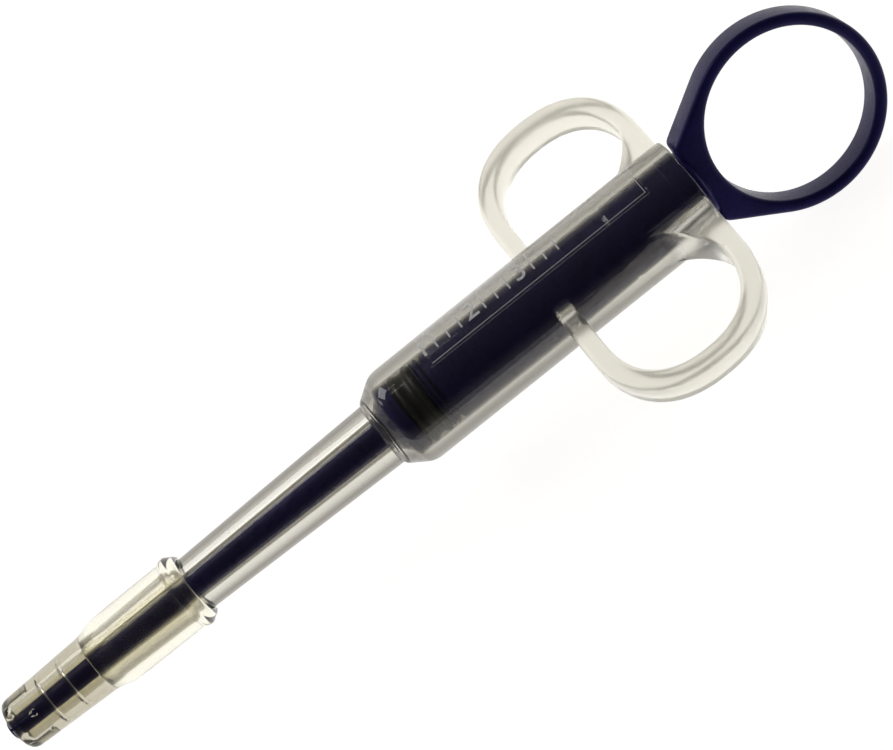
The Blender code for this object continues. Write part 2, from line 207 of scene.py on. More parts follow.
class SyringeFinish(PropertyGroup):
    """Colours and gloss of the syringe's plastics, and the painted shade on the clear parts' rims."""

    clear_tint: FloatVectorProperty(
        name="Clear plastic",
        description="Tint of the barrel",
        subtype="COLOR",
        default=(0.76, 0.74, 0.67),
    )
    # Painted shade: the dark tint laid on the barrel's rims where they turn away from the view
    clear_rim: FloatVectorProperty(
        name="Clear plastic rim",
        description="Tint of the barrel at its rims",
        subtype="COLOR",
        default=(0.11, 0.10, 0.085),
    )
    vinyl_tint: FloatVectorProperty(
        name="Soft vinyl",
        description="Tint of the soft tip",
        subtype="COLOR",
        default=(0.60, 0.57, 0.45),
    )
    vinyl_sleeve: FloatVectorProperty(
        name="Soft vinyl sleeve",
        description="Tint of the soft tip where it grips the nozzle",
        subtype="COLOR",
        default=(0.93, 0.91, 0.80),
    )
    # Painted shade: the dark tint laid on the soft tip's rims where they turn away from the view
    vinyl_rim: FloatVectorProperty(
        name="Soft vinyl rim",
        description="Tint of the soft tip at its rims",
        subtype="COLOR",
        default=(0.40, 0.37, 0.28),
    )
    navy: FloatVectorProperty(
        name="Navy plastic",
        description="Colour of plunger, rod and ring",
        subtype="COLOR",
        default=(0.0150, 0.0115, 0.0760),
    )
    rubber: FloatVectorProperty(
        name="Rubber",
        description="Colour of the seal",
        subtype="COLOR",
        default=(0.010, 0.010, 0.008),
    )
    ink: FloatVectorProperty(
        name="Print",
        description="Colour of the graduations",
        subtype="COLOR",
        default=(0.80, 0.79, 0.78),
    )
    navy_roughness: FloatProperty(
        name="Navy roughness",
        description="How dull the navy plastic is",
        subtype="FACTOR",
        default=0.28,
        min=0,
        max=1,
    )


class SyringeStudio(PropertyGroup):
    """Camera and light."""

    azimuth: FloatProperty(
        name="Azimuth",
        description="Camera angle round the object",
        default=math.radians(7.2),
        subtype="ANGLE",
    )
    elevation: FloatProperty(
        name="Elevation",
        description="Camera angle above the floor",
        default=math.radians(60.3),
        subtype="ANGLE",
    )
    roll: FloatProperty(
        name="Roll",
        description="Turn of the camera about its view",
        default=math.radians(45.05),
        subtype="ANGLE",
    )
    distance: FloatProperty(
        name="Distance", description="Camera to object", default=0.335, unit="LENGTH"
    )
    lens: FloatProperty(name="Lens", description="Focal length in millimetres", default=92.72)
    sky: FloatProperty(name="Surround light", description="Brightness of the pale surround", default=1.3)
    key_power: FloatProperty(
        name="Key power", description="Power of the key light", default=0.5, unit="POWER"
    )


# Shape tools


def eased(points, trims, steps=5):
    """A closed or open outline with each corner C eased from A to B, `trim` before and after it.

    The corner becomes (1-s)^2 A + 2 s (1-s) C + s^2 B.
    """
    points = np.asarray(points, float)
    before = np.roll(points, 1, axis=0) - points
    after = np.roll(points, -1, axis=0) - points
    reach_before = np.linalg.norm(before, axis=1, keepdims=True)
    reach_after = np.linalg.norm(after, axis=1, keepdims=True)
    trim = np.asarray(trims, float)[:, None]
    start = points + before / reach_before * np.minimum(trim, 0.48 * reach_before)
    end = points + after / reach_after * np.minimum(trim, 0.48 * reach_after)
    s = np.linspace(0, 1, steps + 1)[None, :, None]
    curve = (1 - s) ** 2 * start[:, None] + 2 * s * (1 - s) * points[:, None] + s**2 * end[:, None]
    curve = curve.reshape(-1, 2)
    gap = np.linalg.norm(curve - np.roll(curve, 1, axis=0), axis=1)
    return curve[gap > 1e-8]


def grid_faces(rows, columns, close_rows, close_columns):
    """Quads that join each point of a grid to the next along its rows and columns."""
    row = np.arange(rows if close_rows else rows - 1)
    column = np.arange(columns if close_columns else columns - 1)
    i, j = np.meshgrid(row, column, indexing="ij")
    next_i, next_j = (i + 1) % rows, (j + 1) % columns
    corners = [i * columns + j, next_i * columns + j, next_i * columns + next_j, i * columns + next_j]
    return np.stack(corners, -1).reshape(-1, 4)


def fan_faces(ring, centre):
    """Triangles from each edge of a ring of point numbers to one centre point."""
    return np.stack([ring, np.roll(ring, -1), np.full(len(ring), centre)], -1)


def solid(name, points, face_groups, sharp=35):
    """A closed mesh whose faces point outwards, found from the sign of its volume."""
    points = np.asarray(points, float).reshape(-1, 3)
    volume = 0.0
    for faces in face_groups:
        for step in range(1, faces.shape[1] - 1):
            a, b, c = points[faces[:, 0]], points[faces[:, step]], points[faces[:, step + 1]]
            volume += float(np.einsum("ij,ij->i", a, np.cross(b, c)).sum())
    if volume < 0:
        face_groups = [faces[:, ::-1] for faces in face_groups]
    mesh = bpy.data.meshes.new(name)
    mesh.from_pydata(points.tolist(), [], [face for faces in face_groups for face in faces.tolist()])
    mesh.update()
    made = bpy.data.objects.new(name, mesh)
    bpy.context.scene.collection.objects.link(made)
    smooth(made, sharp)
    return made


def smooth(made, sharp=35):
    """Smooth shading, with edges steeper than `sharp` degrees kept crisp."""
    made.data.shade_smooth()
    made.data.set_sharp_from_angle(angle=math.radians(sharp))


def turned(name, profile, segments, tube=False):
    """A profile of station s and radius r turned about the axis: (s, r sin t, r cos t), t from half a step.

    A tube's profile is a closed outline; any other starts and ends on the axis.
    """
    profile = np.asarray(profile, float)
    rows = profile if tube else profile[1:-1]
    t = ((np.arange(segments) + 0.5) * 2 * math.pi / segments)[None, :]
    station, radius = rows[:, :1], rows[:, 1:]
    points = np.stack([station + 0 * t, radius * np.sin(t), radius * np.cos(t)], -1).reshape(-1, 3)
    groups = [grid_faces(len(rows), segments, tube, True)]
    if not tube:
        last = len(points)
        points = np.vstack([points, [profile[0, 0], 0, 0], [profile[-1, 0], 0, 0]])
        first_ring = np.arange(segments)
        last_ring = (len(rows) - 1) * segments + first_ring
        groups += [fan_faces(first_ring, last), fan_faces(last_ring, last + 1)[:, ::-1]]
    return solid(name, points, groups)


def block_section(edge, steps=4):
    """A rounded rectangle as a corner (0 or 1 across, 0 or 1 up) and an inward shift for each point.

    Each corner is a quarter circle of radius `edge` about a centre moved in by the same amount.
    """
    corner = np.array([(0, 0), (1, 0), (1, 1), (0, 1)], float)
    angle = np.radians(np.array([180, 270, 0, 90])[:, None] + np.linspace(0, 90, steps + 1)[None, :])
    circle = np.stack([np.cos(angle), np.sin(angle)], -1)
    shift = edge * ((1 - 2 * corner)[:, None, :] + circle)
    corner = np.repeat(corner, steps + 1, axis=0)
    return corner, shift.reshape(-1, 2)


def carried(name, near, far, low, high, edge, place):
    """A rounded block carried along a path, from the `near` line to the `far` line.

    Across it runs near + side (far - near) + shift, and up it runs low + side (high - low) + shift;
    place(path point, height) gives the final position.
    """
    near, far = np.asarray(near, float), np.asarray(far, float)
    corner, shift = block_section(edge)
    across = far - near
    length = np.linalg.norm(across, axis=1, keepdims=True)
    unit = across / length
    limit = np.minimum(np.abs(shift[None, :, 0]), 0.45 * length) * np.sign(shift[None, :, 0])
    flat = near[:, None] + across[:, None] * corner[None, :, :1] + unit[:, None] * limit[..., None]
    height = low + (high - low) * corner[:, 1] + shift[:, 1] + np.zeros((len(near), 1))
    points = place(flat, height)
    rows, columns = points.shape[:2]
    ends = np.stack([points[0].mean(axis=0), points[-1].mean(axis=0)])
    flat_points = np.vstack([points.reshape(-1, 3), ends])
    first = np.arange(columns)
    last = (rows - 1) * columns + first
    groups = [
        grid_faces(rows, columns, False, True),
        fan_faces(first, rows * columns),
        fan_faces(last, rows * columns + 1)[:, ::-1],
    ]
    return solid(name, flat_points, groups)


def combine(target, other, operation):
    """Join or cut with a Boolean, applied at once, and remove the other solid."""
    change = target.modifiers.new(operation.lower(), "BOOLEAN")
    change.operation = operation
    change.solver = "EXACT"
    change.object = other
    bpy.context.view_layer.update()
    graph = bpy.context.evaluated_depsgraph_get()
    mesh = bpy.data.meshes.new_from_object(target.evaluated_get(graph))
    if len(mesh.polygons) < 10:
        raise RuntimeError("nothing was left of " + target.name)
    target.modifiers.clear()
    target.data = mesh
    mesh.name = target.name
    bpy.data.objects.remove(other, do_unlink=True)
    smooth(target)


def on_barrel(station, arc, height, base_angle):
    """A flat drawing wrapped on the barrel: arc / R turns it, height lifts it off the wall."""
    angle = base_angle + arc / BARREL_RADIUS
    radius = BARREL_RADIUS + height
    return np.stack([station, radius * np.sin(angle), radius * np.cos(angle)], -1)


# Materials


def new_material(name):
    """A node material, with its nodes, its links and its shader."""
    made = bpy.data.materials.new(name)
    made.use_nodes = True
    return made, made.node_tree.nodes, made.node_tree.links, made.node_tree.nodes["Principled BSDF"]


def grain(nodes, links, scale, detail=2.0, stretch=(1, 1, 1)):
    """Noise on object coordinates; `scale` is in cells per metre."""
    where = nodes.new("ShaderNodeTexCoord")
    spread = nodes.new("ShaderNodeMapping")
    spread.inputs["Scale"].default_value = stretch
    noise = nodes.new("ShaderNodeTexNoise")
    noise.inputs["Scale"].default_value = scale
    noise.inputs["Detail"].default_value = detail
    links.new(where.outputs["Object"], spread.inputs["Vector"])
    links.new(spread.outputs["Vector"], noise.inputs["Vector"])
    return noise.outputs["Fac"]


def toned(nodes, links, factor, dark, light):
    """Colour that drifts between two close tones."""
    ramp = nodes.new("ShaderNodeValToRGB")
    ramp.color_ramp.elements[0].position = 0.3
    ramp.color_ramp.elements[1].position = 0.7
    ramp.color_ramp.elements[0].color = (*dark, 1)
    ramp.color_ramp.elements[1].color = (*light, 1)
    links.new(factor, ramp.inputs["Fac"])
    return ramp.outputs["Color"]


def ranged(nodes, links, factor, low, high):
    """Noise spread between two values."""
    spread = nodes.new("ShaderNodeMapRange")
    spread.inputs["From Min"].default_value = 0.3
    spread.inputs["From Max"].default_value = 0.7
    spread.inputs["To Min"].default_value = low
    spread.inputs["To Max"].default_value = high
    links.new(factor, spread.inputs["Value"])
    return spread.outputs["Result"]


def relief(nodes, links, shader, factor, depth, strength=0.5):
    """A fine bump, `depth` metres deep."""
    bump = nodes.new("ShaderNodeBump")
    bump.inputs["Distance"].default_value = depth
    bump.inputs["Strength"].default_value = strength
    links.new(factor, bump.inputs["Height"])
    links.new(bump.outputs["Normal"], shader.inputs["Normal"])


def scaled(colour, amount):
    """A colour times an amount, kept at or below 1."""
    return tuple(min(1.0, part * amount) for part in colour)


def blended(nodes, links, factor, first, second):
    """Mix of two colours; each is a socket or a plain colour."""
    mixed = nodes.new("ShaderNodeMix")
    mixed.data_type = "RGBA"
    links.new(factor, mixed.inputs[0])
    for socket, value in ((mixed.inputs[6], first), (mixed.inputs[7], second)):
        if isinstance(value, tuple):
            socket.default_value = (*value, 1)
        else:
            links.new(value, socket)
    return mixed.outputs[2]


def eased_range(nodes, links, value, start, end):
    """0 below start, 1 above end, and a smooth step between them."""
    step = nodes.new("ShaderNodeMapRange")
    step.interpolation_type = "SMOOTHSTEP"
    step.inputs["From Min"].default_value = start
    step.inputs["From Max"].default_value = end
    links.new(value, step.inputs["Value"])
    return step.outputs["Result"]


def axis_distance(nodes, links):
    """Distance from the syringe's axis, sqrt(y^2 + z^2)."""
    where = nodes.new("ShaderNodeTexCoord")
    flatten = nodes.new("ShaderNodeVectorMath")
    flatten.operation = "MULTIPLY"
    flatten.inputs[1].default_value = (0, 1, 1)
    length = nodes.new("ShaderNodeVectorMath")
    length.operation = "LENGTH"
    links.new(where.outputs["Object"], flatten.inputs[0])
    links.new(flatten.outputs["Vector"], length.inputs[0])
    return length.outputs["Value"]


def clear_material(name, tint, rim, ior, gloss, frost=None, paler=None):
    """See-through moulded plastic: faint flow lines, uneven tint and gloss, and a painted shade: a darker
    tint where the surface turns away from the view, near a round wall's rim, standing in for the shadowed
    floor seen through the wall.

    `frost` is (distance from the axis where a satin finish starts, where it is full, its
    roughness, its share of clear light). `paler` is (station where a paler tint starts, station
    where it is full, the paler tint).
    """
    made, nodes, links, shader = new_material(name)
    shader.inputs["Transmission Weight"].default_value = 1.0
    shader.inputs["IOR"].default_value = ior
    flow = grain(nodes, links, 90, 2, (0.35, 1, 1))
    body = toned(nodes, links, flow, scaled(tint, 0.97), scaled(tint, 1.03))
    slant = nodes.new("ShaderNodeLayerWeight")
    slant.inputs["Blend"].default_value = 0.5
    # Painted shade: the tint darkens as the surface turns away from the view, towards a round wall's rims;
    # depth here is the mask of that painted shade, not a wall thickness
    depth = eased_range(nodes, links, slant.outputs["Facing"], *RIM_SHADE_FACING)
    rim_shaded_tint = blended(nodes, links, depth, body, tuple(rim))
    if paler:
        place = nodes.new("ShaderNodeSeparateXYZ")
        links.new(nodes.new("ShaderNodeTexCoord").outputs["Object"], place.inputs[0])
        further = eased_range(nodes, links, place.outputs["X"], paler[0], paler[1])
        rim_shaded_tint = blended(nodes, links, further, rim_shaded_tint, tuple(paler[2]))
    roughness = ranged(nodes, links, grain(nodes, links, 420, 3), gloss, gloss * 2)
    if frost:
        outer = eased_range(nodes, links, axis_distance(nodes, links), frost[0], frost[1])
        rim_shaded_tint = blended(nodes, links, outer, rim_shaded_tint, scaled(tint, FROSTED_GAIN))
        satin = nodes.new("ShaderNodeMix")
        satin.data_type = "FLOAT"
        links.new(outer, satin.inputs[0])
        links.new(roughness, satin.inputs[2])
        satin.inputs[3].default_value = frost[2]
        roughness = satin.outputs[0]
        haze = nodes.new("ShaderNodeMapRange")
        haze.inputs["To Min"].default_value = 1.0
        haze.inputs["To Max"].default_value = frost[3]
        links.new(outer, haze.inputs["Value"])
        links.new(haze.outputs["Result"], shader.inputs["Transmission Weight"])
    links.new(rim_shaded_tint, shader.inputs["Base Color"])
    links.new(roughness, shader.inputs["Roughness"])
    relief(nodes, links, shader, flow, 0.00003, 0.2)
    return made


def navy_material(finish):
    """Moulded navy plastic: fine pebble, soft bluish gloss, slightly uneven tone."""
    made, nodes, links, shader = new_material("navy_moulded_plastic")
    tone = toned(nodes, links, grain(nodes, links, 160), scaled(finish.navy, 0.85), scaled(finish.navy, 1.2))
    links.new(tone, shader.inputs["Base Color"])
    dull = finish.navy_roughness
    gloss = ranged(nodes, links, grain(nodes, links, 700, 4), dull - 0.04, dull + 0.06)
    links.new(gloss, shader.inputs["Roughness"])
    shader.inputs["Specular IOR Level"].default_value = 0.15
    shader.inputs["Specular Tint"].default_value = (0.62, 0.58, 1.0, 1)
    relief(nodes, links, shader, grain(nodes, links, 2600, 2), 0.000002, 0.06)
    return made


def rubber_material(finish):
    """Dull black rubber with a fine cast skin."""
    made, nodes, links, shader = new_material("black_seal_rubber")
    dark, light = scaled(finish.rubber, 0.7), scaled(finish.rubber, 1.5)
    tone = toned(nodes, links, grain(nodes, links, 500), dark, light)
    links.new(tone, shader.inputs["Base Color"])
    links.new(ranged(nodes, links, grain(nodes, links, 1500, 3), 0.30, 0.44), shader.inputs["Roughness"])
    relief(nodes, links, shader, grain(nodes, links, 3500, 4), 0.00004, 0.3)
    return made


def ink_material(finish):
    """Screen-printed white ink, a little patchy."""
    made, nodes, links, shader = new_material("white_print_ink")
    dark, light = scaled(finish.ink, 0.82), scaled(finish.ink, 1.1)
    tone = toned(nodes, links, grain(nodes, links, 1800, 4), dark, light)
    links.new(tone, shader.inputs["Base Color"])
    links.new(ranged(nodes, links, grain(nodes, links, 1200), 0.40, 0.55), shader.inputs["Roughness"])
    return made


def floor_material():
    """Matt pale paper with a very faint mottle, lit through from below."""
    made, nodes, links, shader = new_material("pale_paper")
    tone = toned(nodes, links, grain(nodes, links, 6), (0.50, 0.50, 0.50), (0.53, 0.53, 0.53))
    links.new(tone, shader.inputs["Base Color"])
    shader.inputs["Roughness"].default_value = 0.9
    shader.inputs["Specular IOR Level"].default_value = 0.0
    shader.inputs["Emission Color"].default_value = (1.0, 0.99, 0.97, 1)
    shader.inputs["Emission Strength"].default_value = 0.92
    return made


def paint(made, material, see_through=False):
    """Give a piece its finish; light reaches what lies inside a see-through one."""
    made.data.materials.clear()
    made.data.materials.append(material)
    made.visible_shadow = not see_through


# Pieces


def loop_path():
    """The strap's outer and inner lines: a straight foot, a superellipse arch and a straight foot.

    The arch is x = centre -/+ a |cos|^(2/n) and reach = base + b |sin|^(2/n).
    """
    centre, half = (LOOP_FRONT + LOOP_REAR) / 2, (LOOP_REAR - LOOP_FRONT) / 2
    depth = LOOP_REACH - LOOP_STRAIGHT
    turn = np.linspace(math.pi, 0, 73)
    power = 2 / LOOP_ROUNDNESS
    along = np.sign(np.cos(turn)) * np.abs(np.cos(turn)) ** power
    out = np.abs(np.sin(turn)) ** power
    foot = np.linspace(LOOP_ROOT_RADIUS, LOOP_STRAIGHT, 8)[:-1]

    def line(width, height):
        arch = np.stack([centre + width * along, LOOP_STRAIGHT + height * out], -1)
        front = np.stack([np.full_like(foot, centre - width), foot], -1)
        rear = np.stack([np.full_like(foot, centre + width), foot[::-1]], -1)
        return np.vstack([front, arch, rear])

    return line(half, depth), line(half - LOOP_THICKNESS, depth - LOOP_THICKNESS)


def make_loop(side, edge):
    """One finger loop; side -1 is the near loop and +1 the far one, half a turn away.

    A foot ends on a cylinder inside the barrel wall: reach = sqrt(root^2 - height^2).
    """
    outer, inner = loop_path()

    def place(flat, height):
        reach = flat[..., 1].copy()
        root = np.sqrt(LOOP_ROOT_RADIUS**2 - np.clip(height, 0, LOOP_WIDTH) ** 2)
        reach[0], reach[-1] = root[0], root[-1]
        return np.stack([flat[..., 0], side * reach, -side * height], -1)

    return carried("loop", inner, outer, 0.0, LOOP_WIDTH, edge, place)


def make_gusset(side, edge):
    """The flare at the loop's rear foot, a superellipse fillet turned about the syringe's axis.

    Its front line is x = rear - length (1 - (1 - s^n)^(1/n)), with s falling from 1 at the wall
    to 0 at the top, and each height z sits at reach sqrt(r^2 - z^2).
    """
    rear = LOOP_REAR - LOOP_THICKNESS
    s = np.linspace(1, 0.02, 28)
    radius = GUSSET_TOP - s * (GUSSET_TOP - BARREL_RADIUS)
    front = rear - GUSSET_LENGTH * (1 - (1 - s**GUSSET_ROUNDNESS) ** (1 / GUSSET_ROUNDNESS)) + 0.00004
    radius = np.concatenate([[LOOP_ROOT_RADIUS], radius])
    front = np.concatenate([[front[0] - 0.0002], front])
    near = np.stack([front, radius], -1)
    far = np.stack([np.full_like(front, rear + 0.0016), radius], -1)

    def place(flat, height):
        reach = np.sqrt(flat[..., 1] ** 2 - np.clip(height, 0, None) ** 2)
        return np.stack([flat[..., 0], side * reach, -side * height], -1)

    return carried("gusset", near, far, 0.00003, LOOP_WIDTH - 0.00003, edge, place)


def make_barrel(shape, finish):
    """The clear moulding: one closed outline turned about the axis, then joined to two loops.

    The outline runs round the outside from the rear, in at the nozzle's mouth and back along
    the bore; each row is a station, a radius and how much its corner is eased.
    """
    outline = [
        (BARREL_REAR, BARREL_RADIUS, 0.0005),
        (SHOULDER_REAR, BARREL_RADIUS, 0.0012),
        (NOZZLE_REAR, SHOULDER_RADIUS, 0.0006),
        (NOZZLE_REAR, NOZZLE_REAR_RADIUS, 0.0003),
        (NOZZLE_FRONT, NOZZLE_FRONT_RADIUS, 0.0004),
        (NOZZLE_FRONT, NOZZLE_BORE_FRONT, 0.0002),
        (CHAMBER_FRONT, NOZZLE_BORE_REAR, 0.0003),
        (CHAMBER_FRONT, CHAMBER_CONE_RADIUS, 0.0003),
        (CHAMBER_CONE_REAR, CHAMBER_RADIUS, 0.0005),
        (STOP_RIDGE - 0.0008, CHAMBER_RADIUS, 0.0002),
        (STOP_RIDGE - 0.0002, CHAMBER_RADIUS - 0.00010, 0.0002),
        (STOP_RIDGE + 0.0002, CHAMBER_RADIUS - 0.00010, 0.0002),
        (STOP_RIDGE + 0.0008, CHAMBER_RADIUS, 0.0002),
        (BARREL_REAR, CHAMBER_RADIUS, 0.0003),
    ]
    outline = np.array(outline)
    profile = eased(outline[:, :2], outline[:, 2])
    made = turned("clear_barrel", profile, shape.segments, tube=True)
    for side in (-1, 1):
        combine(made, make_loop(side, shape.strap_edge), "UNION")
        combine(made, make_gusset(side, shape.strap_edge * 0.6), "UNION")
    # The barrel's rims get a painted shade, darker as they turn away from the view
    material = clear_material(
        "clear_moulded_plastic", finish.clear_tint, finish.clear_rim, 1.49, 0.015, frost=LOOP_FROST
    )
    paint(made, material, see_through=True)
    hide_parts("barrel")
    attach(made, "barrel")
    return made


def wrapped_block(name, stations, arcs, low, high, base_angle, steps=24):
    """A thin block between two stations and two arc lengths, bent round the barrel."""
    arc = np.linspace(arcs[0], arcs[1], steps + 1)
    near = np.stack([np.full_like(arc, stations[0]), arc], -1)
    far = np.stack([np.full_like(arc, stations[1]), arc], -1)

    def place(flat, height):
        return on_barrel(flat[..., 0], flat[..., 1], height, base_angle)

    return carried(name, near, far, low, high, (high - low) * 0.3, place)


def make_label():
    """The clear film: a flat sheet as long as the arc it covers, bent round the barrel."""
    span = (LABEL_FAR_ANGLE - LABEL_NEAR_ANGLE) * BARREL_RADIUS
    top = LABEL_LIFT + LABEL_THICKNESS
    ends = (LABEL_FRONT, LABEL_REAR)
    made = wrapped_block("printed_film", ends, (0, span), LABEL_LIFT, top, LABEL_NEAR_ANGLE)
    # The film's rims get a faint painted shade as well
    material = clear_material("clear_label_film", (0.97, 0.97, 0.97), (0.9, 0.9, 0.9), 1.2, 0.03)
    paint(made, material, see_through=True)
    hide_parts("label_film")
    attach(made, "barrel")
    return made


def numeral(text, station, height, low, base_angle):
    """A printed numeral: flat type, cut across at even heights and bent round the barrel."""
    curve = bpy.data.curves.new("numeral", "FONT")
    curve.body = text
    curve.size = height / 0.73
    curve.extrude = 0.00001
    curve.align_x = "CENTER"
    flat = bpy.data.objects.new("numeral", curve)
    bpy.context.scene.collection.objects.link(flat)
    bpy.context.view_layer.update()
    mesh = bpy.data.meshes.new_from_object(flat.evaluated_get(bpy.context.evaluated_depsgraph_get()))
    bpy.data.objects.remove(flat, do_unlink=True)
    work = bmesh.new()
    work.from_mesh(mesh)
    bmesh.ops.remove_doubles(work, verts=work.verts, dist=1e-7)
    for level in np.linspace(0, height, 12)[1:-1]:
        parts = work.verts[:] + work.edges[:] + work.faces[:]
        bmesh.ops.bisect_plane(work, geom=parts, plane_co=(0, level, 0), plane_no=(0, 1, 0))
    work.to_mesh(mesh)
    work.free()
    points = np.empty(len(mesh.vertices) * 3, np.float32)
    mesh.vertices.foreach_get("co", points)
    points = points.reshape(-1, 3).astype(float)
    bent = on_barrel(station + points[:, 0], points[:, 1], low + points[:, 2], base_angle)
    mesh.vertices.foreach_set("co", bent.astype(np.float32).ravel())
    mesh.update()
    made = bpy.data.objects.new("numeral", mesh)
    bpy.context.scene.collection.objects.link(made)
    return made


def joined(name, parts):
    """One object from several, in place."""
    work = bmesh.new()
    for part in parts:
        work.from_mesh(part.data)
        bpy.data.objects.remove(part, do_unlink=True)
    mesh = bpy.data.meshes.new(name)
    work.to_mesh(mesh)
    work.free()
    made = bpy.data.objects.new(name, mesh)
    bpy.context.scene.collection.objects.link(made)
    smooth(made)
    return made


def make_print(shape, finish):
    """Quarter-millilitre marks, numerals at the whole ones, and a thin line along two of the
    film's sides. A numeral stands just in front of its mark, where the three-quarter mark would be.
    """
    low = LABEL_LIFT + LABEL_THICKNESS + 0.00001
    high = low + PRINT_THICKNESS
    half = shape.mark_width / 2
    parts = []
    for quarter in range(4, 15):
        if quarter % 4 not in MARK_HEIGHTS:
            continue
        station = ZERO_MARK + quarter * MARK_STEP / 4
        ends = (station - half, station + half)
        arcs = (0, MARK_HEIGHTS[quarter % 4])
        parts.append(wrapped_block("mark", ends, arcs, low, high, PRINT_BASE_ANGLE, 12))
    for whole in (1, 2, 3):
        station = ZERO_MARK + whole * MARK_STEP - NUMERAL_LEAD
        parts.append(numeral(str(whole), station, shape.numeral_height, low + 0.00002, PRINT_BASE_ANGLE))
    inset, line = FRAME_LINE_INSET, FRAME_LINE_WIDTH
    span = (LABEL_FAR_ANGLE - LABEL_NEAR_ANGLE) * BARREL_RADIUS
    front, rear = LABEL_FRONT + inset, LABEL_REAR - inset
    parts.append(wrapped_block("line", (front, rear), (inset, inset + line), low, high, LABEL_NEAR_ANGLE, 2))
    ends = (rear - line, rear)
    parts.append(wrapped_block("line", ends, (inset, span - inset), low, high, LABEL_NEAR_ANGLE, 16))
    made = joined("graduation_print", parts)
    paint(made, ink_material(finish))
    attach(made, "barrel")
    return made


def make_plunger(shape, finish):
    """The hollow plunger tube and the push rod in its front, each an outline turned about the axis.

    The tube's outline starts at the middle of its floor, runs along the bore to the rear, back
    over the collar, ribs and seal groove to the coned front, and into the rod's socket.
    """
    material = navy_material(finish)
    front = CHAMBER_FRONT + PLUNGER_GAP
    cone_radius = CHAMBER_CONE_RADIUS - PLUNGER_GAP
    cone_rear = front + CHAMBER_CONE_REAR - CHAMBER_FRONT
    rib = RIB_WIDTH
    outline = [
        (PLUNGER_REAR, PLUNGER_BORE, 0.0003),
        (PLUNGER_REAR, COLLAR_RADIUS, 0.0004),
        (COLLAR_FRONT, COLLAR_RADIUS, 0.0003),
        (COLLAR_FRONT, PLUNGER_RADIUS, 0.0001),
        (SEAL_REAR + 3 * rib, PLUNGER_RADIUS, 0.0002),
        (SEAL_REAR + 3 * rib, RIB_GROOVE_RADIUS, 0.0001),
        (SEAL_REAR + 2 * rib, RIB_GROOVE_RADIUS, 0.0001),
        (SEAL_REAR + 2 * rib, PLUNGER_RADIUS, 0.0002),
        (SEAL_REAR + rib, PLUNGER_RADIUS, 0.0002),
        (SEAL_REAR + rib, RIB_GROOVE_RADIUS, 0.0001),
        (SEAL_REAR + rib / 2, RIB_GROOVE_RADIUS, 0.0001),
        (SEAL_REAR + rib / 2, PLUNGER_RADIUS, 0.0001),
        (SEAL_REAR, PLUNGER_RADIUS, 0.0001),
        (SEAL_REAR, GROOVE_RADIUS, 0.0001),
        (SEAL_FRONT, GROOVE_RADIUS, 0.0001),
        (SEAL_FRONT, PLUNGER_RADIUS, 0.0003),
        (cone_rear, PLUNGER_RADIUS, 0.0005),
        (front, cone_radius, 0.0003),
        (front, ROD_REAR_RADIUS + SOCKET_GAP, 0.0001),
        (front + SOCKET_DEPTH, ROD_REAR_RADIUS + SOCKET_GAP, 0.0001),
        (front + SOCKET_DEPTH, 0.0, 0.0),
        (PLUNGER_FLOOR, 0.0, 0.0),
        (PLUNGER_FLOOR, PLUNGER_BORE, 0.0006),
    ]
    outline = np.array(outline[-2:] + outline[:-2])
    profile = eased(outline[:, :2], outline[:, 2])
    start = int(np.argmin(np.abs(profile[:, 0] - PLUNGER_FLOOR) + profile[:, 1]))
    profile = np.roll(profile, -start, axis=0)
    tube = turned("plunger_tube", profile, shape.segments)
    rod_outline = np.array(
        [
            (CHAMBER_FRONT + SOCKET_DEPTH, 0.0, 0.0),
            (CHAMBER_FRONT + SOCKET_DEPTH, ROD_REAR_RADIUS, 0.0003),
            (CHAMBER_FRONT, ROD_REAR_RADIUS, 0.0003),
            (0.0013, ROD_FRONT_RADIUS - 0.0001, 0.0001),
            (0.0012, ROD_FRONT_RADIUS, 0.0001),
            (0.0, ROD_FRONT_RADIUS, 0.0002),
            (0.0, 0.0, 0.0),
        ]
    )
    rod = turned("plunger_rod", eased(rod_outline[:, :2], rod_outline[:, 2]), shape.segments)
    for made, node in ((tube, "plunger_body"), (rod, "push_rod")):
        paint(made, material)
        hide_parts(node)
        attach(made, "plunger")


def ring_outline(bearing):
    """Distance from the hole's centre to the outline: the circle, its tangent flanks and the base.

    Flank R / cos(bearing - tangent point) and base d / cos(bearing) meet in a soft minimum,
    (a^-p + b^-p)^(-1/p), which rounds the two corners.
    """
    drop = RING_CENTRE - RING_BASE
    corner = math.atan2(RING_BASE_HALF, -drop)
    tangent = corner - math.acos(RING_OUTER_RADIUS / math.hypot(drop, RING_BASE_HALF))
    bearing = np.abs((bearing + math.pi) % (2 * math.pi) - math.pi)
    on_flank = RING_OUTER_RADIUS / np.cos(np.clip(bearing - tangent, 0, 1.2))
    on_base = drop / np.maximum(-np.cos(bearing), 0.2)
    power = 70.0
    return (on_flank**-power + on_base**-power) ** (-1 / power)


